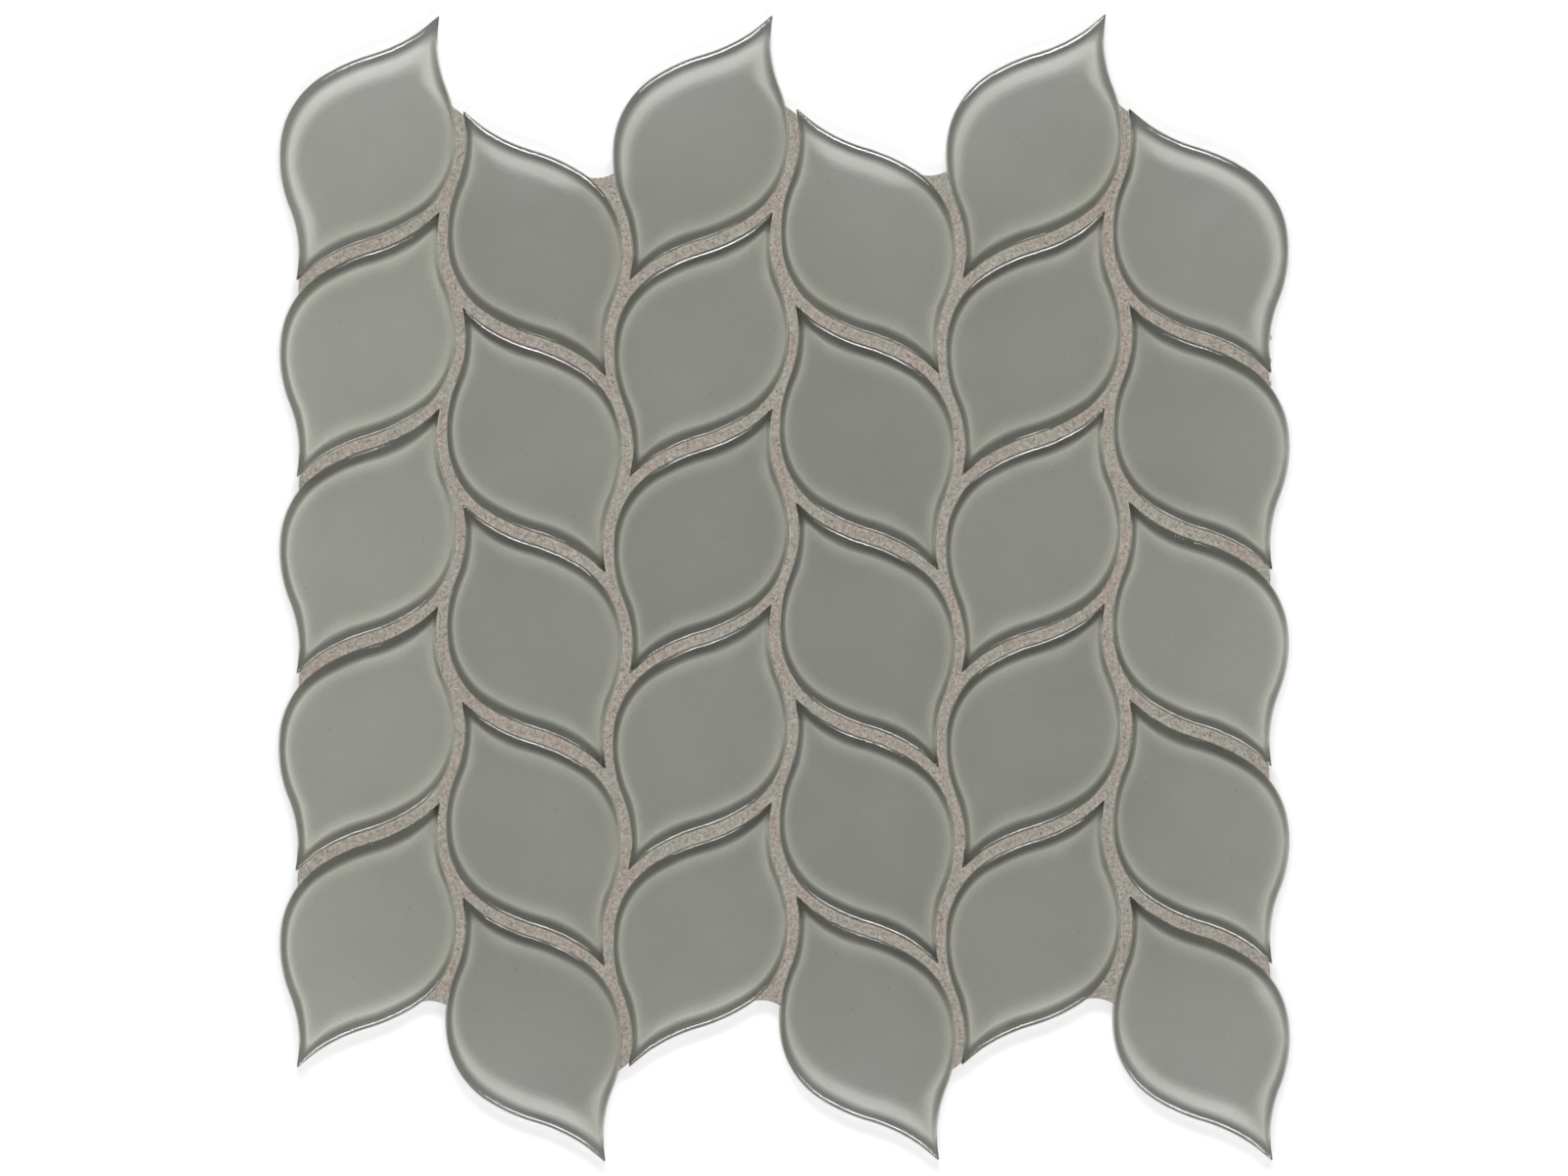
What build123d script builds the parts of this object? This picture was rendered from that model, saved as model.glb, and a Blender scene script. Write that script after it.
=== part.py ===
from build123d import *
import os
import random
from math import ceil, degrees

# Glass mosaic sheet: thirty leaf-shaped glass tiles in six columns, grouted, on a net backing.
# Millimetres. +Z is up, out of the polished faces; +Y runs along the columns, towards the top of the sheet.
# The origin is under the middle of the sheet's outline, on its back face.

# Sheet layout
COLUMNS = 6
ROWS = 5
COLUMN_PITCH = 43.0
ROW_PITCH = 50.8            # 2 inches from leaf to leaf along a column
MIRRORED_COLUMN_DROP = 24.6  # mirrored columns sit lower by this, so that the leaves nest
COLUMN_CREEP = 0.17         # each column ends up this much higher than the one to its left
HAND_LAID_OFFSET = 0.2      # each leaf sits up to this far off its place in the grid

# One leaf: half of its outline runs from the lower tip, up the left flank and over the shoulder to
# the upper tip. The other half is the same curve turned half round.
LEAF_TIP = (18.6, 34.5)
LOWER_FLANK_END = (-20.4, -15.3)
MID_FLANK_END = (-22.7, 1.6)
SHOULDER_END = (-12.0, 18.6)
UPPER_EDGE_MIDDLE = (0.5, 24.2)
TIP_HEADING = 78.7          # degrees from +X, direction of the flank where it leaves the lower tip
TURN_PER_RUN = 12.0         # each arc is held as equal straight runs that turn by no more than this

# Heights, from the back of the sheet
NET_THICKNESS = 0.4
GLASS_THICKNESS = 8.0
# The fire-polished upper edge of each leaf is close to a round of 1, held here by two bevels
STEEP_BEVEL_ACROSS_FACE = 0.5
STEEP_BEVEL_DOWN_WALL = 1.0
FLAT_BEVEL = 0.4
GROUT_DEPTH_BELOW_FACE = 0.4
GLASS_TOP = NET_THICKNESS + GLASS_THICKNESS
GROUT_TOP = GLASS_TOP - GROUT_DEPTH_BELOW_FACE

# Where the grout stops at the sheet's edge, as three points of a shallow dip: inside the first leaf,
# the middle of the dip, inside the next leaf. Each is measured from the centre of the first leaf.
TIP_NOTCH = ((21.0, 11.3), (23.5, 9.5), (25.7, 7.6))
SHOULDER_NOTCH = ((13.0, 17.4), (16.9, 17.0), (21.3, 18.6))
SIDE_NOTCH = ((17.3, -32.2), (17.9, -36.5), (17.2, -39.2))

# Corners of the net in a leaf of the top row, from the leaf's centre
NET_IN_LEAF = ((-17.0, 8.0), (13.0, 28.0), (17.0, 10.0))
NET_IN_MIRRORED_LEAF = ((-17.0, 10.0), (-13.0, 28.0), (19.0, 6.0))


def is_mirrored(column):
    """Every second column holds the leaf turned over, left to right."""
    return column % 2 == 1


def grid_place(column, row):
    """Centre of a leaf in the regular grid, with the sheet's middle at the origin."""
    columns_from_middle = column - (COLUMNS - 1) / 2
    x = columns_from_middle * COLUMN_PITCH
    y = ((ROWS - 1) / 2 - row) * ROW_PITCH + MIRRORED_COLUMN_DROP / 2 + columns_from_middle * COLUMN_CREEP
    if is_mirrored(column):
        y -= MIRRORED_COLUMN_DROP
    return Vector(x, y)


def leaf_outline():
    """Tangent arcs from tip to tip, as short straight runs, and the same again turned half round."""
    start = -Vector(*LEAF_TIP)
    heading = Vector(1, 0).rotate(Axis.Z, TIP_HEADING)
    side = []
    for end in (LOWER_FLANK_END, MID_FLANK_END, SHOULDER_END, UPPER_EDGE_MIDDLE, LEAF_TIP):
        arc = TangentArc(start, Vector(*end), tangent=heading)
        runs = ceil(degrees(arc.length / arc.radius) / TURN_PER_RUN)
        side += [arc @ (step / runs) for step in range(runs)]
        start = arc @ 1
        heading = arc % 1
    other_side = [-point for point in side]
    return make_face(Polyline(*side, *other_side, close=True))


def leaf_tile():
    """One leaf of glass: straight walls, a softened upper edge, its back on the net."""
    glass = extrude(leaf_outline(), GLASS_THICKNESS)
    face = glass.faces().sort_by(Axis.Z)[-1]
    glass = chamfer(face.edges(), STEEP_BEVEL_ACROSS_FACE, STEEP_BEVEL_DOWN_WALL, reference=face)
    face = glass.faces().sort_by(Axis.Z)[-1]
    glass = chamfer(face.edges(), FLAT_BEVEL)
    return Pos(0, 0, NET_THICKNESS) * glass


def edge_dip(centre, points, flip_x=1, flip_y=1):
    """The dip where a joint's grout ends at the sheet's edge."""
    first, middle, last = [centre + Vector(x * flip_x, y * flip_y) for x, y in points]
    return first, middle, last


def grout_outline():
    """Through the middle of each border leaf and across each joint between them, clockwise."""
    right = COLUMNS - 1
    bottom = ROWS - 1
    dips = []
    for column in range(right):
        shape = SHOULDER_NOTCH if is_mirrored(column) else TIP_NOTCH
        centre = grid_place(column, 0)
        dips.append((centre, edge_dip(centre, shape)))
    for row in range(bottom):
        centre = grid_place(right, row)
        dips.append((centre, edge_dip(centre, SIDE_NOTCH)))
    for column in reversed(range(right)):
        shape = TIP_NOTCH if is_mirrored(column) else SHOULDER_NOTCH
        dip = edge_dip(grid_place(column, bottom), shape, flip_y=-1)
        dips.append((grid_place(column + 1, bottom), dip[::-1]))
    for row in reversed(range(bottom)):
        dip = edge_dip(grid_place(0, row), SIDE_NOTCH, flip_x=-1)
        dips.append((grid_place(0, row + 1), dip[::-1]))
    edges = []
    for index, (centre, (first, middle, last)) in enumerate(dips):
        next_centre = dips[(index + 1) % len(dips)][0]
        edges.append(Line(centre, first))
        edges.append(ThreePointArc(first, middle, last))
        edges.append(Line(last, next_centre))
    return make_face(Wire(edges))


def grout(tiles):
    """Cast between the leaves, so each leaf leaves its own seat in it."""
    cast = extrude(grout_outline(), GROUT_TOP - NET_THICKNESS)
    cast = Pos(0, 0, NET_THICKNESS) * cast
    return cast - tiles


def net_backing():
    """The glass-fibre net and its glue as one thin sheet, cut just inside the leaves' outline."""
    corners = []
    for column in range(COLUMNS):
        shape = NET_IN_MIRRORED_LEAF if is_mirrored(column) else NET_IN_LEAF
        corners += [grid_place(column, 0) + Vector(*point) for point in shape]
    for column in reversed(range(COLUMNS)):
        shape = NET_IN_LEAF if is_mirrored(column) else NET_IN_MIRRORED_LEAF
        corners += [grid_place(column, ROWS - 1) + Vector(x, -y) for x, y in reversed(shape)]
    return extrude(make_face(Polyline(*corners, close=True)), NET_THICKNESS)


def main():
    os.makedirs("parts", exist_ok=True)
    hand = random.Random(5)
    leaf = leaf_tile()
    mirrored_leaf = leaf.mirror(Plane.YZ)
    tiles = {}
    for column in range(COLUMNS):
        for row in range(ROWS):
            shape = mirrored_leaf if is_mirrored(column) else leaf
            place = grid_place(column, row)
            slip_x = hand.uniform(-HAND_LAID_OFFSET, HAND_LAID_OFFSET)
            slip_y = hand.uniform(-HAND_LAID_OFFSET, HAND_LAID_OFFSET)
            tile = Pos(place.X + slip_x, place.Y + slip_y, 0) * shape
            tiles[f"leaf_tile_c{column + 1}_r{row + 1}"] = tile
    for name, tile in tiles.items():
        export_step(tile, f"parts/{name}.step")
    export_step(grout(list(tiles.values())), "parts/grout.step")
    export_step(net_backing(), "parts/mesh_backing.step")


main()
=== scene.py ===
# The looks of a grouted sheet of leaf-shaped glass mosaic tiles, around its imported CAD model.
# Metres, in the CAD model's frame: the sheet lies on its back at z = 0 and its faces look up.
# Lengths of the pieces are named in millimetres and multiplied by MM.

import math
import random

import bmesh
import bpy
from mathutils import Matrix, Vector, noise
from mathutils.bvhtree import BVHTree
from mathutils.kdtree import KDTree


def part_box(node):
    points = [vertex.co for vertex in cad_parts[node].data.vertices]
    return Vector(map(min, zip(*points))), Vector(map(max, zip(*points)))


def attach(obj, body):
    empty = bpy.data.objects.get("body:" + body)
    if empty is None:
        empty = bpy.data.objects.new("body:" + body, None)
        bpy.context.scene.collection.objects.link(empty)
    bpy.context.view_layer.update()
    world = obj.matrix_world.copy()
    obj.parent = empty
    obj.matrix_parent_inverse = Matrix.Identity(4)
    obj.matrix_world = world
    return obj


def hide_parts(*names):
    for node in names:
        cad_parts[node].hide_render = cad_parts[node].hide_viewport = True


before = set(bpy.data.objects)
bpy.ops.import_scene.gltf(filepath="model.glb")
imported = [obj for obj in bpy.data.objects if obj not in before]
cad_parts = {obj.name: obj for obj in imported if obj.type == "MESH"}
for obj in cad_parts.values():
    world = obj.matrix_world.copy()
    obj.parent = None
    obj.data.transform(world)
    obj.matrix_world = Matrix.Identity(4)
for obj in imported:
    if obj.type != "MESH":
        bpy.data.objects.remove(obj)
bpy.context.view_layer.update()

MM = 0.001
ROOT = "root"
COLUMNS = 6
ROWS = 5

# Half a leaf's outline: tangent arcs from the lower tip over the left shoulder to the upper tip
LEAF_TIP = (18.6, 34.5)
LOWER_FLANK_END = (-20.4, -15.3)
MID_FLANK_END = (-22.7, 1.6)
SHOULDER_END = (-12.0, 18.6)
UPPER_EDGE_MIDDLE = (0.5, 24.2)
TIP_HEADING = 78.7          # degrees from +X, direction of the side where it leaves the lower tip
TIP_CUT = 0.6               # the fire-rounded tip ends this far short of the sharp corner

# Heights, from the back of the sheet
NET_TOP = 0.4
GLASS_TOP = 8.4
GROUT_TOP = 8.2             # where the grout laps the glass

# The fire-polished upper edge of a leaf
EDGE_ROUND = 0.8            # a tight round down to the wall
CROWN_ROUND = 4.5           # and inside it a gentle crown that runs out into the flat face
CROWN_TILT = math.radians(11)  # how steep the crown is where it meets the tight round
CROWN_START = EDGE_ROUND * (1 - math.sin(CROWN_TILT))
EDGE_WIDTH = CROWN_START + CROWN_ROUND * math.sin(CROWN_TILT)
EDGE_DROP = EDGE_ROUND * math.cos(CROWN_TILT) + CROWN_ROUND * (1 - math.cos(CROWN_TILT))
TIP_ROUND = 0.3             # the edge is crisper towards the tips: it starts at this share of its size
ROUND_PER_WIDTH = 0.12      # and gains this much of it with each millimetre of the leaf's width
WIDEST_EDGE = 0.42          # the edge of one side takes up no more than this share of the leaf's width

# The grid that a leaf is laid out on
LEAF_GRID = (110, 9, 12)    # steps from tip to tip, over the edge of each side, and across the face
MOULD_GRID = (70, 6, 4)     # the same for the leaves that the grout is cast round
ROUND_SHARE = 5 / 9         # of the steps over the edge, those on the tight round
HOLDING_STEP = 0.12         # between the rounded edge and the face, so that the face shades flat

# How the side light painted into a leaf's rim falls
FREE_OF_GROUT = 0.6         # a wall is free where no grout lies within this distance
SOFT_ROWS = 3               # the side light fades over this many rows where the grout begins
TOP_ROW_ASIDE = 0.45        # of the light through a free wall, the share where it faces left or right
LEFT_NARROWING = 1.0        # a wall that faces left shades a rim this much narrower
RIGHT_NARROWING = 0.5       # one that faces right narrows it too, and
RIGHT_SHIFT = 1.8           # drops this many millimetres of it, as more light comes from the left
RIM_BLEND = 3.0             # the rims of two sides run together over this length where they meet,
BLEND_PER_WIDTH = 0.3       # or over this share of the leaf's width near its tips

# Where the grout dips between the tiles of the border, from the centre of the tile before the joint
TIP_NOTCH = ((21.0, 11.3), (23.5, 9.5), (25.7, 7.6))
SHOULDER_NOTCH = ((13.0, 17.4), (16.9, 17.0), (21.3, 18.6))
SIDE_NOTCH = ((17.3, -32.2), (17.9, -36.5), (17.2, -39.2))
NOTCH_STEPS = 8

# The grout's surface between the tiles
HALF_JOINT = 1.1
GROUT_HOLLOW = 0.3          # the sponge leaves the joint this much lower in its middle
CONTACT = 0.02              # the grout keeps this much into the glass, so no air shows between them
SAND_SPACING = 0.5          # between the points of the grout's top
LUMP_SIZE, LUMP_HEIGHT = 1.3, 0.07
GRAIN_SIZE, GRAIN_HEIGHT = 0.6, 0.07
WAVE_SIZE, WAVE_HEIGHT = 9.0, 0.1
PIT_SIZE, PIT_DEPTH = 1.0, 1.3
PIT_RARITY = 0.42           # the noise that makes pits shows only above this
OUTLINE_STEPS = 100         # points along one side of a leaf, by which the nearest tile is found
POINT_REACH = 0.6           # an outline can be this much nearer than the nearest of its points
FAR_FROM_GLASS = 2.0        # distances from the glass are measured no further than this

# The net's strands
STRAND_SPACING = 6.0
STRAND_WIDTH = 1.1
STRAND_HEIGHT = 0.19
STRAND_SIDES = 6
YARN_TWIST = 0.8            # from rib to rib along a strand


def linear(hex_colour):
    """An sRGB hex colour as linear RGBA."""
    channels = [int(hex_colour[i : i + 2], 16) / 255 for i in (1, 3, 5)]
    return [c / 12.92 if c <= 0.04045 else ((c + 0.055) / 1.055) ** 2.4 for c in channels] + [1.0]


def add_node(tree, kind, settings=None, inputs=None):
    """A node with its settings. An input is a value, or a socket that feeds it."""
    node = tree.nodes.new(kind)
    for name, value in (settings or {}).items():
        setattr(node, name, value)
    for name, value in (inputs or {}).items():
        if isinstance(value, bpy.types.NodeSocket):
            tree.links.new(value, node.inputs[name])
        else:
            node.inputs[name].default_value = value
    return node


def new_material(name):
    """An empty node material and its surface socket."""
    material = bpy.data.materials.new(name)
    material.use_nodes = True
    material.node_tree.nodes.clear()
    output = add_node(material.node_tree, "ShaderNodeOutputMaterial")
    return material, material.node_tree, output.inputs["Surface"]


class Arc:
    """A circular arc from start to end that leaves start along heading."""

    def __init__(self, start, end, heading):
        chord = end - start
        left = Vector((-heading.y, heading.x))
        signed_radius = chord.length_squared / (2 * chord.dot(left))
        self.centre = start + left * signed_radius
        self.radius = abs(signed_radius)
        spoke = start - self.centre
        self.from_angle = math.atan2(spoke.y, spoke.x)
        self.turn = 2 * math.asin(chord.length / 2 / self.radius) * math.copysign(1, signed_radius)
        self.length = self.radius * abs(self.turn)
        self.start = start
        self.end = end

    def point(self, share):
        angle = self.from_angle + self.turn * share
        return self.centre + Vector((math.cos(angle), math.sin(angle))) * self.radius

    def end_heading(self):
        angle = self.from_angle + self.turn
        side = math.copysign(1, self.turn)
        return Vector((-math.sin(angle), math.cos(angle))) * side

    def distance(self, point):
        spoke = point - self.centre
        swing = (math.atan2(spoke.y, spoke.x) - self.from_angle) * math.copysign(1, self.turn)
        if (swing % math.tau) <= abs(self.turn):
            return abs(spoke.length - self.radius)
        return min((point - self.start).length, (point - self.end).length)


def leaf_side():
    """The left side of a leaf, from its lower tip to its upper tip, as tangent arcs."""
    arcs = []
    start = -Vector(LEAF_TIP)
    heading = Vector((math.cos(math.radians(TIP_HEADING)), math.sin(math.radians(TIP_HEADING))))
    for corner in (LOWER_FLANK_END, MID_FLANK_END, SHOULDER_END, UPPER_EDGE_MIDDLE, LEAF_TIP):
        arcs.append(Arc(start, Vector(corner), heading))
        start = arcs[-1].end
        heading = arcs[-1].end_heading()
    return arcs


SIDE_ARCS = leaf_side()
SIDE_LENGTH = sum(arc.length for arc in SIDE_ARCS)


def side_point(travel):
    """The point that lies this far along the left side."""
    for arc in SIDE_ARCS:
        if travel <= arc.length or arc is SIDE_ARCS[-1]:
            return arc.point(travel / arc.length)
        travel -= arc.length


def travel_at(row, along):
    """Distance along a side from its tip, at a row of the leaf's grid."""
    return TIP_CUT + (SIDE_LENGTH - 2 * TIP_CUT) * row / along


def heading_at(travel):
    """Direction of the left side at a point of it."""
    return (side_point(travel + 0.01) - side_point(travel - 0.01)).normalized()


def crossing(travel, chord):
    """How squarely a chord meets the left side at a point of it: 1 is square."""
    return abs(chord.normalized().cross(heading_at(travel)))


def edge_place(share):
    """Distance from the wall over the edge, for a share of its steps."""
    if share <= ROUND_SHARE:
        tilt = math.pi / 2 + (CROWN_TILT - math.pi / 2) * share / ROUND_SHARE
        return EDGE_ROUND * (1 - math.sin(tilt))
    tilt = CROWN_TILT * (1 - share) / (1 - ROUND_SHARE)
    return EDGE_WIDTH - CROWN_ROUND * math.sin(tilt)


def edge_drop(distance):
    """How far the edge lies below the face, at a distance from the wall."""
    if distance >= EDGE_WIDTH:
        return 0.0
    if distance >= CROWN_START:
        return CROWN_ROUND - math.sqrt(CROWN_ROUND**2 - (EDGE_WIDTH - distance) ** 2)
    return EDGE_DROP - math.sqrt(max(EDGE_ROUND**2 - (EDGE_ROUND - distance) ** 2, 0))


def across(step, edge_steps, face_steps, width, left_edge, right_edge):
    """Distance from the left side along a chord, for a step on it: first over the edge, then the face."""
    last = 2 * edge_steps + face_steps
    if step <= edge_steps:
        return left_edge * edge_place(step / edge_steps) / EDGE_WIDTH
    if step >= last - edge_steps:
        return width - right_edge * edge_place((last - step) / edge_steps) / EDGE_WIDTH
    flat = width - left_edge - right_edge
    holding = min(HOLDING_STEP, flat / face_steps)
    share = (step - edge_steps - 1) / (face_steps - 2)
    return left_edge + holding + (flat - 2 * holding) * share


def blend(first, second, share):
    return first * (1 - share) + second * share


def leaf_mesh(along, edge_steps, face_steps):
    """One leaf: a grid laid from side to side, dropped at its edges, with walls and a painted back.

    Each point keeps its grid row, its distance from the wall, which side it belongs to, and how squarely
    that side faces up or down the sheet, for the painted shade and light of its rim.
    """
    steps_across = 2 * edge_steps + face_steps
    bm = bmesh.new()
    nearest = bm.verts.layers.float.new("nearest")
    level = bm.verts.layers.float.new("level")
    side_share = bm.verts.layers.float.new("side_share")
    row_of = bm.verts.layers.int.new("row")
    bmesh.ops.create_grid(bm, x_segments=steps_across, y_segments=along, size=1.0)
    for vert in bm.verts:
        row = round((vert.co.y + 1) / 2 * along)
        travel = travel_at(row, along)
        left = side_point(travel)
        right = -side_point(SIDE_LENGTH - travel)
        width = (right - left).length
        scale = min(1, TIP_ROUND + ROUND_PER_WIDTH * width)
        widest = WIDEST_EDGE * width
        left_edge = min(EDGE_WIDTH * scale / crossing(travel, right - left), widest)
        right_edge = min(EDGE_WIDTH * scale / crossing(SIDE_LENGTH - travel, right - left), widest)
        step = round((vert.co.x + 1) / 2 * steps_across)
        place = left.lerp(right, across(step, edge_steps, face_steps, width, left_edge, right_edge) / width)
        to_left = min(arc.distance(place) for arc in SIDE_ARCS)
        to_right = min(arc.distance(-place) for arc in SIDE_ARCS)
        vert.co = (place.x, place.y, GLASS_TOP - scale * edge_drop(min(to_left, to_right) / scale))
        rim_blend = min(RIM_BLEND, BLEND_PER_WIDTH * width)
        share = min(max(0.5 + (to_left - to_right) / (2 * rim_blend), 0), 1)
        meeting = max(1 - abs(to_left - to_right) / rim_blend, 0)
        vert[level] = blend(abs(heading_at(travel).x), abs(heading_at(SIDE_LENGTH - travel).x), share)
        vert[nearest] = min(to_left, to_right) - meeting * meeting * rim_blend / 4
        vert[side_share] = share
        vert[row_of] = row
    sunk = bmesh.ops.extrude_face_region(bm, geom=bm.faces[:])["geom"]
    foot = {item for item in sunk if isinstance(item, bmesh.types.BMVert)}
    for vert in foot:
        vert.co.z = NET_TOP
    for face in bm.faces:
        painted = all(vert in foot for vert in face.verts)
        face.smooth = not painted
        face.material_index = 1 if painted else 0
    bmesh.ops.scale(bm, vec=(MM, MM, MM), verts=bm.verts)
    bmesh.ops.recalc_face_normals(bm, faces=bm.faces)
    return bm


def drop_marks(leaf):
    """Removes the marks that only the making of a leaf needs."""
    for name in ("nearest", "level", "side_share"):
        leaf.verts.layers.float.remove(leaf.verts.layers.float[name])
    leaf.verts.layers.int.remove(leaf.verts.layers.int["row"])


def finish_piece(bm, name, materials):
    """A bmesh as a piece at the origin, on the sheet's one body."""
    mesh = bpy.data.meshes.new(name)
    bm.to_mesh(mesh)
    bm.free()
    piece = bpy.data.objects.new(name, mesh)
    bpy.context.scene.collection.objects.link(piece)
    for material in materials:
        mesh.materials.append(material)
    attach(piece, ROOT)
    return piece


def lumps(tree, place, size, tones, spread=(0.3, 0.7), detail=2.0):
    """A tone that wanders between two values in soft lumps of this many millimetres."""
    cloud = add_node(tree, "ShaderNodeTexNoise", inputs={
        "Vector": place, "Scale": 1 / (size * MM), "Detail": detail,
    })
    tone = add_node(tree, "ShaderNodeMapRange", inputs={
        "Value": cloud.outputs["Fac"],
        "From Min": spread[0], "From Max": spread[1],
        "To Min": tones[0], "To Max": tones[1],
    })
    return tone.outputs["Result"]


def specks(tree, place, spacing, size, tone, dimensions="2D"):
    """This tone on round specks of about this size and spacing in millimetres, and 1 between them."""
    cells = add_node(tree, "ShaderNodeTexVoronoi", {"voronoi_dimensions": dimensions}, {
        "Vector": place, "Scale": 1 / (spacing * MM),
    })
    edge = size / 2 / spacing
    spots = add_node(tree, "ShaderNodeMapRange", inputs={
        "Value": cells.outputs["Distance"],
        "From Min": 0.6 * edge, "From Max": 1.2 * edge,
        "To Min": tone, "To Max": 1.0,
    })
    return spots.outputs["Result"]


def shaded(tree, colour, tones):
    """A colour made lighter or darker by each of the tones in turn."""
    for tone in tones:
        colour = add_node(tree, "ShaderNodeVectorMath", {"operation": "SCALE"}, {
            0: colour, "Scale": tone,
        }).outputs["Vector"]
    return colour


def clear_moulded_glass():
    """Clear soda-lime glass, moulded and then fire-polished.

    The fire leaves a slow waviness that bends the lamps' white lines a little, and handling leaves a
    film that takes the edge off the gloss in places.
    """
    material, tree, surface = new_material("clear_moulded_glass")
    place = add_node(tree, "ShaderNodeTexCoord").outputs["Object"]
    waves = add_node(tree, "ShaderNodeTexNoise", inputs={
        "Vector": place, "Scale": 1 / (9.0 * MM), "Detail": 1.0,
    })
    waviness = add_node(tree, "ShaderNodeBump", inputs={
        "Height": waves.outputs["Fac"], "Distance": 0.05 * MM, "Strength": 1.0,
    })
    glass = add_node(tree, "ShaderNodeBsdfPrincipled", inputs={
        "Base Color": linear("#f7faf8"),
        "Roughness": lumps(tree, place, size=14.0, tones=(0.0, 0.03), spread=(0.5, 0.75)),
        "IOR": 1.5,
        "Transmission Weight": 1.0,
        "Normal": waviness.outputs["Normal"],
    })
    tree.links.new(glass.outputs["BSDF"], surface)
    return material


# Tone of the back paint by distance from the leaf's wall, in millimetres, with painted light and shade in
# it:
# a painted shadow of wall and grout at the rim, a painted ring of light inside that, and painted side light
# near a free wall
RAMP_LENGTH = 10.0
WALLED_RIM_PAINTED_SHADE_AND_RING = ((0.0, 0.30), (2.3, 0.29), (3.1, 0.44), (3.9, 0.70), (5.0, 0.60), (6.8, 0.50), (8.4, 0.475))
FREE_RIM_PAINTED_SIDE_LIGHT = ((0.0, 0.34), (1.8, 0.34), (2.6, 0.58), (3.5, 0.82), (5.4, 0.78), (6.8, 0.58), (8.2, 0.475))
COAT_TINT = (1.0, 0.985, 0.885)
# tint of the painted side light through a free wall
PAINTED_SIDE_LIGHT_TINT = (1.0, 0.99, 0.94)
FIRST_COLUMN_TONE = 1.13    # the leaves of the first column are painted this much paler
COAT_SPREAD = 0.025         # how much the coats of single leaves differ


def rim_tone_with_painted_light(tree, stops, tint):
    """The tone that a leaf's rim has at each distance from its wall, in its tint, with its painted shade and
    light.
    """
    from_edge = add_node(tree, "ShaderNodeAttribute", {"attribute_name": "from_edge"})
    place = add_node(tree, "ShaderNodeMapRange", inputs={
        "Value": from_edge.outputs["Fac"], "From Min": 0.0, "From Max": RAMP_LENGTH,
    })
    ramp = add_node(tree, "ShaderNodeValToRGB", inputs={"Fac": place.outputs["Result"]})
    elements = ramp.color_ramp.elements
    while len(elements) < len(stops):
        elements.new(1.0)
    for element, (distance, tone) in zip(elements, stops):
        element.position = distance / RAMP_LENGTH
        element.color = [tone * channel for channel in tint] + [1.0]
    return ramp.outputs["Color"]


def grey_back_paint():
    """Grey paint sprayed under the glass, seen through it.

    At the rim it carries painted shade where glass and grout would shade it, with a painted ring of light
    inside that, and painted side light, paler still, near a free wall. Passes of the spray gun leave broad
    soft tones, and a few pinholes and dust grains lie in the coat. Its grain is finer than can be seen, so
    it is drawn at half a millimetre.
    """
    material, tree, surface = new_material("grey_back_paint")
    place = add_node(tree, "ShaderNodeTexCoord").outputs["Object"]
    painted_side_light_share = add_node(tree, "ShaderNodeAttribute", {"attribute_name": "painted_side_light_share"})
    coat_tone = add_node(tree, "ShaderNodeAttribute", {"attribute_name": "coat_tone"})
    # painted shade and ring of light at the rim, turned to painted side light near a free wall
    rim = add_node(tree, "ShaderNodeMix", {"data_type": "RGBA"}, {
        0: painted_side_light_share.outputs["Fac"],
        6: rim_tone_with_painted_light(tree, WALLED_RIM_PAINTED_SHADE_AND_RING, COAT_TINT),
        7: rim_tone_with_painted_light(tree, FREE_RIM_PAINTED_SIDE_LIGHT, PAINTED_SIDE_LIGHT_TINT),
    })
    tones = (
        coat_tone.outputs["Fac"],
        lumps(tree, place, size=22.0, tones=(0.97, 1.03)),
        lumps(tree, place, size=0.5, tones=(0.96, 1.04)),
        specks(tree, place, spacing=27.0, size=0.55, tone=0.78),
        specks(tree, place, spacing=11.0, size=0.3, tone=0.88),
    )
    paint = add_node(tree, "ShaderNodeBsdfPrincipled", inputs={
        "Base Color": shaded(tree, rim.outputs[2], tones),
        "Roughness": 0.7,
        "Specular IOR Level": 0.0,
    })
    tree.links.new(paint.outputs["BSDF"], surface)
    return material


SAND_GRAIN = 0.42           # the sand in such grout is 0.2 to 0.5 mm


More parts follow.
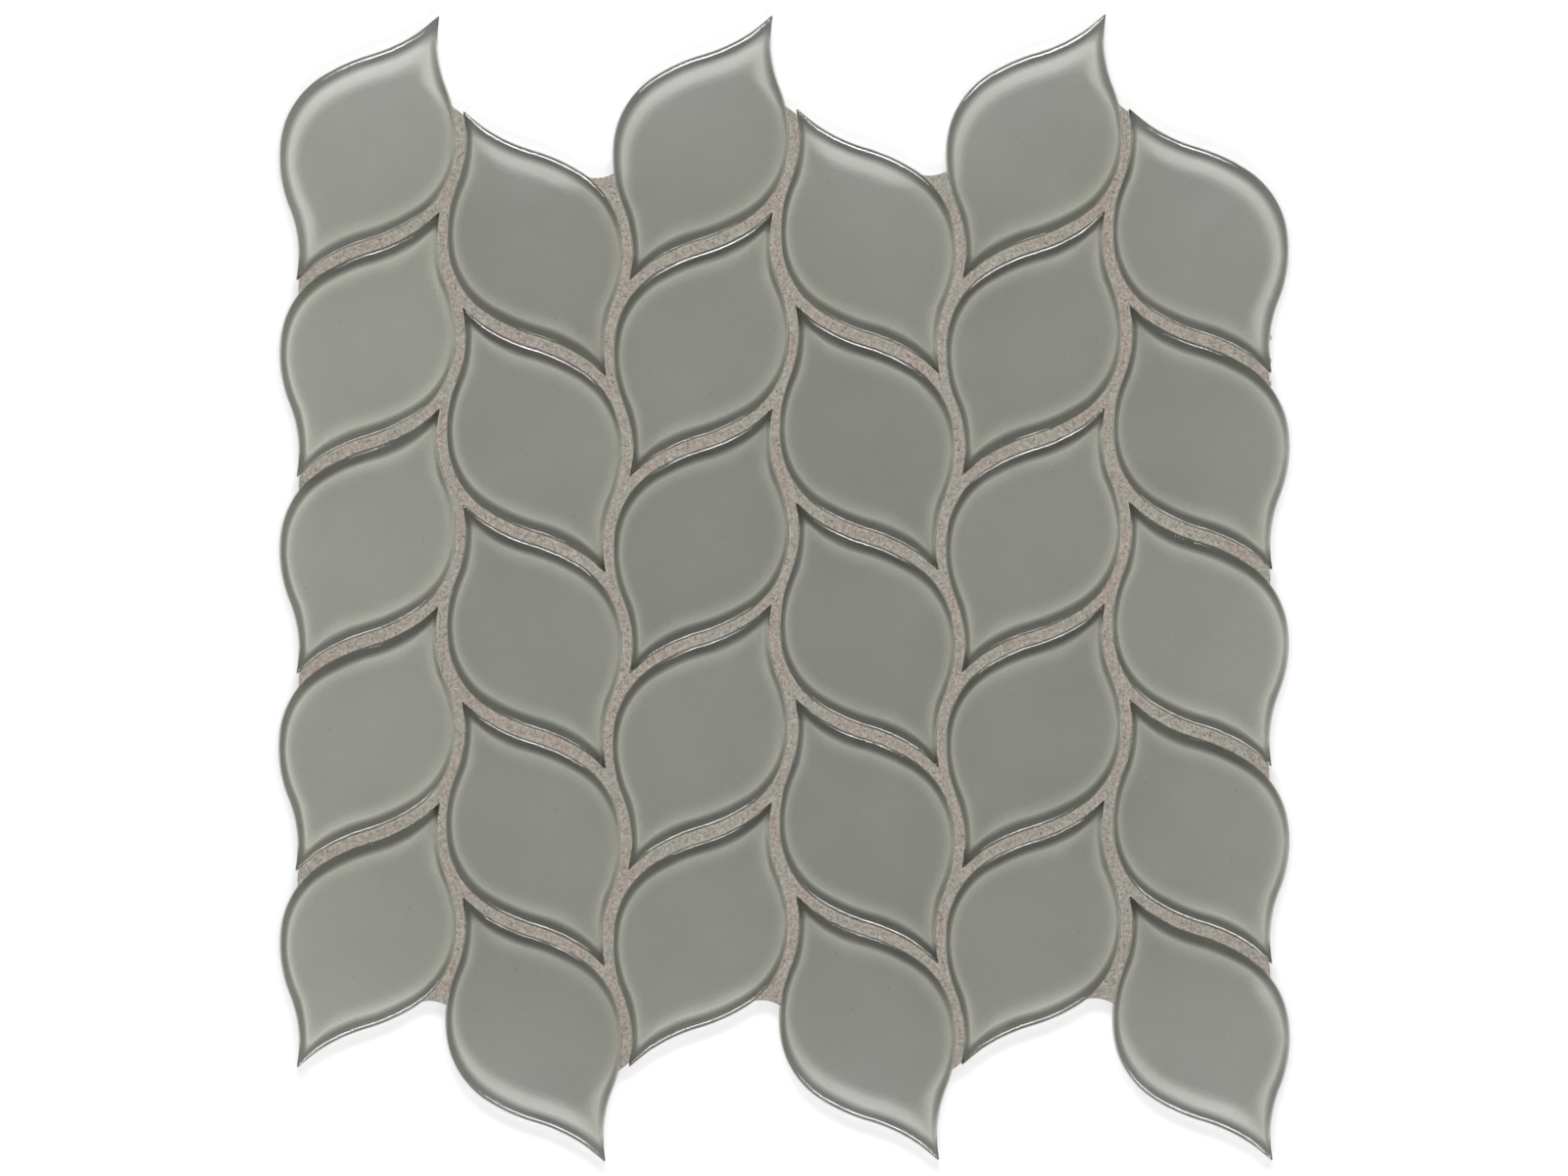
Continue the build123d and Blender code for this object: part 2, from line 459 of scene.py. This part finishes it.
def sanded_cement_grout():
    """Sanded cement grout, sponged level and left matt.

    It shows pinkish and greenish patches where the mix dried apart, single grains of pale and dark sand,
    dark pits, and a paler line against the glass.
    """
    material, tree, surface = new_material("sanded_cement_grout")
    place = add_node(tree, "ShaderNodeTexCoord").outputs["Object"]
    cement = add_node(tree, "ShaderNodeMix", {"data_type": "RGBA"}, {
        0: lumps(tree, place, size=11.0, tones=(0.0, 1.0), spread=(0.36, 0.64), detail=4.0),
        6: linear("#958b82"),
        7: linear("#918f86"),
    })
    grains = add_node(tree, "ShaderNodeTexVoronoi", inputs={
        "Vector": place, "Scale": 1 / (SAND_GRAIN * MM),
    })
    sand = add_node(tree, "ShaderNodeMapRange", inputs={
        "Value": grains.outputs["Color"],
        "From Min": 0.2, "From Max": 0.8,
        "To Min": 0.84, "To Max": 1.14,
    })
    from_glass = add_node(tree, "ShaderNodeAttribute", {"attribute_name": "from_glass"})
    # paler in a thin line against the glass
    paler_near_glass = add_node(tree, "ShaderNodeMapRange", inputs={
        "Value": from_glass.outputs["Fac"],
        "From Min": 0.1, "From Max": 0.5,
        "To Min": 1.12, "To Max": 1.0,
    })
    tones = (
        lumps(tree, place, size=0.7, tones=(0.76, 1.22), detail=3.0),
        sand.outputs["Result"],
        specks(tree, place, spacing=1.7, size=0.6, tone=0.55, dimensions="3D"),
        paler_near_glass.outputs["Result"],
    )
    grit = add_node(tree, "ShaderNodeTexNoise", inputs={
        "Vector": place, "Scale": 1 / (0.5 * MM), "Detail": 3.0,
    })
    relief = add_node(tree, "ShaderNodeBump", inputs={
        "Height": grit.outputs["Fac"], "Distance": 0.2 * MM, "Strength": 0.6,
    })
    grout = add_node(tree, "ShaderNodeBsdfPrincipled", inputs={
        "Base Color": shaded(tree, cement.outputs[2], tones),
        "Roughness": 0.95,
        "Specular IOR Level": 0.15,
        "Normal": relief.outputs["Normal"],
    })
    tree.links.new(grout.outputs["BSDF"], surface)
    return material


WAVE_RUN = 2 * math.pi / 10  # a diagonal wave of scale 1 repeats over this length


def coated_glass_fibre():
    """White glass-fibre yarn, twisted and dipped in a matt alkali-proof coating.

    The twist shows as slanting ribs along each strand, with painted shade in the grooves between them, and
    the coating as blotches where it ran thick.
    """
    material, tree, surface = new_material("coated_glass_fibre")
    place = add_node(tree, "ShaderNodeTexCoord").outputs["Object"]
    twist = add_node(tree, "ShaderNodeTexWave", {"bands_direction": "DIAGONAL"}, {
        "Vector": place, "Scale": WAVE_RUN / (YARN_TWIST * MM),
    })
    # painted shade: darker where the twist's relief is low, in the grooves between the ribs
    ribs = add_node(tree, "ShaderNodeMapRange", inputs={
        "Value": twist.outputs["Fac"], "To Min": 0.85, "To Max": 1.0,
    })
    coating = lumps(tree, place, size=4.0, tones=(0.88, 1.04))
    relief = add_node(tree, "ShaderNodeBump", inputs={
        "Height": twist.outputs["Fac"], "Distance": 0.05 * MM, "Strength": 0.6,
    })
    yarn = add_node(tree, "ShaderNodeBsdfPrincipled", inputs={
        "Base Color": shaded(tree, linear("#dcdcd4")[:3], (ribs.outputs["Result"], coating)),
        "Roughness": 0.6,
        "Normal": relief.outputs["Normal"],
    })
    tree.links.new(yarn.outputs["BSDF"], surface)
    return material


def leaf_centre(column, row):
    """Middle of the leaf that the frame holds there, in metres."""
    low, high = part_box(f"leaf_tile_c{column}_r{row}")
    return ((low + high) / 2).to_2d()


def side_flip(column):
    """Every second column holds the leaf turned over, left to right: -1 there, else 1."""
    return 1 if column % 2 else -1


def on_sheet(point, centre, flip, height=0):
    """A point of the plain leaf, in millimetres, on a leaf of the sheet, in metres."""
    return Vector((centre.x + point.x * flip * MM, centre.y + point.y * MM, height * MM))


def placed_leaf(plain, column, row):
    """A copy of the plain leaf on its place, turned over where its column is."""
    leaf = plain.copy()
    if side_flip(column) == -1:
        bmesh.ops.scale(leaf, vec=(-1, 1, 1), verts=leaf.verts)
        bmesh.ops.recalc_face_normals(leaf, faces=leaf.faces)
    bmesh.ops.translate(leaf, vec=leaf_centre(column, row).to_3d(), verts=leaf.verts)
    return leaf


def side_light(column, row, level):
    """Share of the full side light that a free wall takes in, by how squarely it faces up or down the sheet.

    The tiles of the top row and the lowest tips stand clear. The others are shaded by the tiles beside them.
    """
    if row == 1:
        return blend(TOP_ROW_ASIDE, 1.0, level)
    if row == ROWS and column % 2 == 0:
        return level
    return 0.0


def light_along(column, row, is_left, joints):
    """The side light that one side of a leaf takes in at each row of its grid, faded where grout begins."""
    centre = leaf_centre(column, row)
    along = LEAF_GRID[0]
    taken = []
    for grid_row in range(along + 1):
        travel = travel_at(grid_row, along)
        travel = travel if is_left else SIDE_LENGTH - travel
        point = side_point(travel) if is_left else -side_point(travel)
        wall = on_sheet(point, centre, side_flip(column), GLASS_TOP / 2)
        walled = joints.find_nearest(wall, FREE_OF_GROUT * MM)[0] is not None
        taken.append(0.0 if walled else side_light(column, row, abs(heading_at(travel).x)))
    windows = [taken[max(i - SOFT_ROWS, 0) : i + SOFT_ROWS + 1] for i in range(len(taken))]
    return [sum(window) / len(window) for window in windows]


def mark_painted_rim_light(leaf, column, row, joints):
    """Marks how far each point lies from the wall and how much painted side light its rim takes in."""
    from_edge = leaf.verts.layers.float.new("from_edge")
    painted_side_light_share = leaf.verts.layers.float.new("painted_side_light_share")
    nearest = leaf.verts.layers.float["nearest"]
    level = leaf.verts.layers.float["level"]
    side_share = leaf.verts.layers.float["side_share"]
    row_of = leaf.verts.layers.int["row"]
    left = light_along(column, row, True, joints)
    right = light_along(column, row, False, joints)
    for vert in leaf.verts:
        light = blend(left[vert[row_of]], right[vert[row_of]], vert[side_share])
        aside = (1 - vert[level]) * (1 - light)
        to_right = vert[side_share] if side_flip(column) == 1 else 1 - vert[side_share]
        narrowing = aside * blend(LEFT_NARROWING, RIGHT_NARROWING, to_right)
        vert[painted_side_light_share] = light
        vert[from_edge] = vert[nearest] * (1 + narrowing) + RIGHT_SHIFT * aside * to_right


def make_leaves(materials):
    """A leaf of clear glass with its painted back, on each of the frame's."""
    grout = bmesh.new()
    grout.from_mesh(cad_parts["grout"].data)
    joints = BVHTree.FromBMesh(grout)
    grout.free()
    plain = leaf_mesh(*LEAF_GRID)
    batch = random.Random(7)
    for column in range(1, COLUMNS + 1):
        for row in range(1, ROWS + 1):
            leaf = placed_leaf(plain, column, row)
            mark_painted_rim_light(leaf, column, row, joints)
            drop_marks(leaf)
            coat = leaf.verts.layers.float.new("coat_tone")
            tone = (FIRST_COLUMN_TONE if column == 1 else 1.0) * batch.gauss(1.0, COAT_SPREAD)
            for vert in leaf.verts:
                vert[coat] = tone
            place = f"c{column}_r{row}"
            piece = finish_piece(leaf, f"glass_leaf_{place}", materials)
            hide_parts(f"leaf_tile_{place}")
    plain.free()


def notch(column, row, points, flip_x=1, flip_y=1):
    """The dip of a joint's end: a smooth curve through three points beside a tile's centre."""
    first, middle, last = [
        leaf_centre(column, row) + Vector((x * flip_x, y * flip_y)) * MM for x, y in points
    ]
    curve = []
    for step in range(NOTCH_STEPS + 1):
        t = step / NOTCH_STEPS
        curve.append(first * (1 - t) * (1 - 2 * t) + middle * 4 * t * (1 - t) + last * t * (2 * t - 1))
    return curve


def border():
    """Clockwise round the sheet, from tile centre to tile centre with the joints' ends between them."""
    points = []
    for column in range(1, COLUMNS + 1):
        points.append(leaf_centre(column, 1))
        if column < COLUMNS:
            points += notch(column, 1, TIP_NOTCH if column % 2 else SHOULDER_NOTCH)
    for row in range(1, ROWS):
        points += notch(COLUMNS, row, SIDE_NOTCH)
        points.append(leaf_centre(COLUMNS, row + 1))
    for column in range(COLUMNS - 1, 0, -1):
        points += notch(column, ROWS, SHOULDER_NOTCH if column % 2 else TIP_NOTCH, flip_y=-1)[::-1]
        points.append(leaf_centre(column, ROWS))
    for row in range(ROWS - 1, 0, -1):
        points += notch(1, row, SIDE_NOTCH, flip_x=-1)[::-1]
        if row > 1:
            points.append(leaf_centre(1, row))
    return points


def scratch_object(bm, name):
    """A bmesh as an object for a cut, removed again after it."""
    mesh = bpy.data.meshes.new(name)
    bm.to_mesh(mesh)
    bm.free()
    scratch = bpy.data.objects.new(name, mesh)
    bpy.context.scene.collection.objects.link(scratch)
    return scratch


def carve(bm, tool, operation):
    """The solid bm cut by the solid tool, as a new bmesh. Both are used up."""
    blank = scratch_object(bm, "blank")
    cutter = scratch_object(tool, "cutter")
    cut = blank.modifiers.new("cut", "BOOLEAN")
    cut.operation = operation
    cut.solver = "MANIFOLD"
    cut.object = cutter
    depsgraph = bpy.context.evaluated_depsgraph_get()
    mesh = bpy.data.meshes.new_from_object(blank.evaluated_get(depsgraph))
    carved = bmesh.new()
    carved.from_mesh(mesh)
    bpy.data.meshes.remove(mesh)
    bpy.data.objects.remove(blank)
    bpy.data.objects.remove(cutter)
    return carved


def join(bm, other):
    """Adds a copy of another bmesh, and frees it."""
    copy = bpy.data.meshes.new("copy")
    other.to_mesh(copy)
    other.free()
    bm.from_mesh(copy)
    bpy.data.meshes.remove(copy)


class Tiles:
    """The outlines of all the tiles, to measure distances from."""

    def __init__(self):
        plain = [side_point(SIDE_LENGTH * step / OUTLINE_STEPS) for step in range(OUTLINE_STEPS)]
        plain += [-point for point in plain]
        self.places = []
        self.tree = KDTree(COLUMNS * ROWS * len(plain))
        for column in range(1, COLUMNS + 1):
            for row in range(1, ROWS + 1):
                centre = leaf_centre(column, row)
                flip = side_flip(column)
                for point in plain:
                    self.tree.insert(on_sheet(point, centre, flip), len(self.places))
                self.places.append((centre, flip))
        self.tree.balance()

    def distance(self, x, y):
        """How far the nearest outline is, in millimetres, and no more than FAR_FROM_GLASS."""
        _, index, rough = self.tree.find((x, y, 0))
        if rough > (FAR_FROM_GLASS + POINT_REACH) * MM:
            return FAR_FROM_GLASS
        centre, flip = self.places[index]
        point = Vector(((x - centre.x) * flip, y - centre.y)) / MM
        return min(min(arc.distance(point), arc.distance(-point)) for arc in SIDE_ARCS)


def sand_noise(x, y, size, layer):
    """Noise with bumps of this many millimetres. Each layer has bumps of its own."""
    return noise.noise(Vector((x / size, y / size, layer)))


def sand_height(x, y):
    """Height of the sanded surface at a place in millimetres, about its mean."""
    lump = LUMP_HEIGHT * sand_noise(x, y, LUMP_SIZE, 0)
    grain = GRAIN_HEIGHT * sand_noise(x, y, GRAIN_SIZE, 7)
    wave = WAVE_HEIGHT * sand_noise(x, y, WAVE_SIZE, 3)
    pit = PIT_DEPTH * max(sand_noise(x, y, PIT_SIZE, 11) - PIT_RARITY, 0)
    return lump + grain + wave - pit


def sanded_block(tiles):
    """A block as large as the sheet, its top sanded and hollowed along the joints."""
    low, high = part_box("grout")
    size = (high - low) / MM
    bm = bmesh.new()
    columns = round(size.x / SAND_SPACING)
    rows = round(size.y / SAND_SPACING)
    bmesh.ops.create_grid(bm, x_segments=columns, y_segments=rows, size=0.5)
    for vert in bm.verts:
        x = (low.x + high.x) / 2 + vert.co.x * (high.x - low.x + SAND_SPACING * MM)
        y = (low.y + high.y) / 2 + vert.co.y * (high.y - low.y + SAND_SPACING * MM)
        from_tile = min(tiles.distance(x, y) / HALF_JOINT, 1)
        hollow = GROUT_HOLLOW * from_tile * from_tile * (3 - 2 * from_tile)
        vert.co = (x, y, (GROUT_TOP - hollow + sand_height(x / MM, y / MM)) * MM)
    rim = [edge for edge in bm.edges if edge.is_boundary]
    sides = bmesh.ops.extrude_edge_only(bm, edges=rim)["geom"]
    for vert in sides:
        if isinstance(vert, bmesh.types.BMVert):
            vert.co.z = NET_TOP * MM
    bmesh.ops.contextual_create(bm, geom=[edge for edge in bm.edges if edge.is_boundary])
    bmesh.ops.recalc_face_normals(bm, faces=bm.faces)
    return bm


def border_prism():
    """The area inside the border, taller than the sheet both ways."""
    bm = bmesh.new()
    rim = [bm.verts.new((point.x, point.y, -GLASS_TOP * MM)) for point in border()]
    floor = bm.faces.new(rim)
    sides = bmesh.ops.extrude_face_region(bm, geom=[floor])["geom"]
    top = [item for item in sides if isinstance(item, bmesh.types.BMVert)]
    bmesh.ops.translate(bm, vec=(0, 0, 3 * GLASS_TOP * MM), verts=top)
    bmesh.ops.recalc_face_normals(bm, faces=bm.faces)
    return bm


def tile_moulds():
    """All the tiles, a little smaller and reaching below the sheet, to take out of the grout."""
    plain = leaf_mesh(*MOULD_GRID)
    drop_marks(plain)
    plain.normal_update()
    for vert in plain.verts:
        vert.co -= vert.normal * CONTACT * MM
        if vert.co.z < (NET_TOP + 2 * CONTACT) * MM:
            vert.co.z = -GLASS_TOP * MM
    moulds = bmesh.new()
    for column in range(1, COLUMNS + 1):
        for row in range(1, ROWS + 1):
            join(moulds, placed_leaf(plain, column, row))
    plain.free()
    return moulds


def make_grout(material):
    """The grout, cast round the tiles: it fits the glass all round and laps its rounded edges."""
    tiles = Tiles()
    bm = carve(sanded_block(tiles), border_prism(), "INTERSECT")
    bm = carve(bm, tile_moulds(), "DIFFERENCE")
    from_glass = bm.verts.layers.float.new("from_glass")
    for vert in bm.verts:
        vert[from_glass] = tiles.distance(vert.co.x, vert.co.y)
    for face in bm.faces:
        face.smooth = face.normal.z > 0.5
    piece = finish_piece(bm, "sanded_grout_joints", [material])
    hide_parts("grout")


def strand_runs(surface, start, direction):
    """Where a line at net height enters and leaves the net's area, in pairs."""
    hits = []
    origin = start.copy()
    while True:
        place = surface.ray_cast(origin, direction)[0]
        if place is None:
            return list(zip(hits[::2], hits[1::2]))
        hits.append(place)
        origin = place + direction * 0.01 * MM


def net_strand(axis, beside, first, last, crossing_start, rise):
    """A flat coated strand that weaves over and under the strands it crosses."""
    half = STRAND_SPACING / 2
    stops = [first]
    stop = crossing_start + math.ceil((first - crossing_start) / half + 0.1) * half
    while stop < last - 0.1 * half:
        stops.append(stop)
        stop += half
    stops.append(last)
    steps = len(stops) - 1
    bm = bmesh.new()
    bmesh.ops.create_grid(bm, x_segments=steps, y_segments=STRAND_SIDES, size=1.0)
    for vert in bm.verts:
        along = stops[round((vert.co.x + 1) / 2 * steps)]
        angle = math.pi * (vert.co.y + 1)
        weave = rise * math.cos(math.pi * (along - crossing_start) / STRAND_SPACING)
        out = beside + math.cos(angle) * STRAND_WIDTH / 2
        up = NET_TOP / 2 + (math.sin(angle) + weave) * STRAND_HEIGHT / 2
        vert.co = (along, out, up) if axis == 0 else (out, along, up)
    bmesh.ops.remove_doubles(bm, verts=bm.verts, dist=0.001)
    bmesh.ops.holes_fill(bm, edges=[edge for edge in bm.edges if edge.is_boundary], sides=0)
    bmesh.ops.scale(bm, vec=(MM, MM, MM), verts=bm.verts)
    bmesh.ops.recalc_face_normals(bm, faces=bm.faces)
    return bm


def make_net(material):
    """The glass-fibre net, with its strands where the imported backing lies."""
    backing = bmesh.new()
    backing.from_mesh(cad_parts["mesh_backing"].data)
    surface = BVHTree.FromBMesh(backing)
    backing.free()
    low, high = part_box("mesh_backing")
    net = bmesh.new()
    for axis in (0, 1):
        direction = Vector((1, 0, 0)) if axis == 0 else Vector((0, 1, 0))
        crossing_start = low[axis] / MM + STRAND_SPACING / 2
        for strand in range(int((high[1 - axis] - low[1 - axis]) / MM / STRAND_SPACING)):
            beside = low[1 - axis] / MM + (strand + 0.5) * STRAND_SPACING
            start = Vector((low.x, low.y, (low.z + high.z) / 2)) - direction * STRAND_SPACING * MM
            start[1 - axis] = beside * MM
            rise = (-1) ** (strand + axis)
            for first, last in strand_runs(surface, start, direction):
                ends = first[axis] / MM, last[axis] / MM
                join(net, net_strand(axis, beside, *ends, crossing_start, rise))
    for face in net.faces:
        face.smooth = True
    piece = finish_piece(net, "net_strands", [material])
    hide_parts("mesh_backing")


# Stage: a white floor under the sheet, and two soft lamps in a plain dim room
FLOOR_REACH = 3.0           # metres from the sheet's middle
FLOOR_LIFT = 0.55           # share of plain white in the seen floor, so that shadows on it stay faint
LAMP_HEIGHT = 1.2
LAMP_NEAR = 0.38            # the edge of a lamp's panel that is nearest to the middle
LAMP_FAR = 0.64
LAMP_WIDTH = 0.6
TOP_LAMP_WATTS = 13.8
BOTTOM_LAMP_WATTS = 9.4
ROOM_LIGHT = 0.1

# Camera
PHOTO_WIDTH = 1600
MM_PER_PHOTO_PIXEL = 0.2530
CAMERA_HEIGHT = 3.0         # metres above the faces: far off, so both sides of a wall show the same
SENSOR_WIDTH = 36.0


def white_floor():
    """Matt white board that keeps a faint shadow of the sheet."""
    material, tree, surface = new_material("white_floor")
    board = add_node(tree, "ShaderNodeBsdfDiffuse", inputs={"Color": linear("#ffffff")})
    plain = add_node(tree, "ShaderNodeEmission", inputs={"Color": linear("#ffffff"), "Strength": 1.0})
    path = add_node(tree, "ShaderNodeLightPath")
    seen = path.outputs["Is Camera Ray"]
    for ray in ("Is Glossy Ray", "Is Transmission Ray"):
        seen = add_node(tree, "ShaderNodeMath", {"operation": "ADD", "use_clamp": True}, {
            0: seen, 1: path.outputs[ray],
        }).outputs[0]
    lift = add_node(tree, "ShaderNodeMath", {"operation": "MULTIPLY"}, {0: seen, 1: FLOOR_LIFT})
    mix = add_node(tree, "ShaderNodeMixShader", inputs={
        0: lift.outputs[0], 1: board.outputs["BSDF"], 2: plain.outputs["Emission"],
    })
    tree.links.new(mix.outputs["Shader"], surface)
    return material


def make_floor():
    bm = bmesh.new()
    bmesh.ops.create_grid(bm, x_segments=1, y_segments=1, size=FLOOR_REACH)
    mesh = bpy.data.meshes.new("floor")
    bm.to_mesh(mesh)
    bm.free()
    floor = bpy.data.objects.new("floor", mesh)
    bpy.context.scene.collection.objects.link(floor)
    mesh.materials.append(white_floor())


def softbox(name, side, power):
    """A soft lamp above one end of the sheet, square to the sheet's middle."""
    data = bpy.data.lights.new(name, "AREA")
    data.shape = "RECTANGLE"
    data.size = LAMP_WIDTH
    data.size_y = LAMP_FAR - LAMP_NEAR
    data.energy = power
    lamp = bpy.data.objects.new(name, data)
    lamp.location = (0, side * (LAMP_NEAR + LAMP_FAR) / 2, LAMP_HEIGHT)
    bpy.context.scene.collection.objects.link(lamp)


def make_room():
    """Two lamps and the even light of the room."""
    softbox("softbox_top", 1, TOP_LAMP_WATTS)
    softbox("softbox_bottom", -1, BOTTOM_LAMP_WATTS)
    world = bpy.data.worlds.new("studio")
    world.use_nodes = True
    bpy.context.scene.world = world
    tree = world.node_tree
    tree.nodes.clear()
    output = add_node(tree, "ShaderNodeOutputWorld")
    light = add_node(tree, "ShaderNodeBackground", inputs={
        "Color": linear("#ffffff"), "Strength": ROOM_LIGHT,
    })
    tree.links.new(light.outputs["Background"], output.inputs["Surface"])


def make_camera():
    """Straight above the sheet's middle, framing it as the photograph does."""
    data = bpy.data.cameras.new("camera")
    data.sensor_width = SENSOR_WIDTH
    seen_width = PHOTO_WIDTH * MM_PER_PHOTO_PIXEL * MM
    data.lens = SENSOR_WIDTH * CAMERA_HEIGHT / seen_width
    camera = bpy.data.objects.new("camera", data)
    camera.location = (0, 0, GLASS_TOP * MM + CAMERA_HEIGHT)
    bpy.context.scene.collection.objects.link(camera)
    bpy.context.scene.camera = camera


bpy.context.scene.view_settings.view_transform = "Standard"
make_leaves([clear_moulded_glass(), grey_back_paint()])
make_grout(sanded_cement_grout())
make_net(coated_glass_fibre())
make_floor()
make_room()
make_camera()
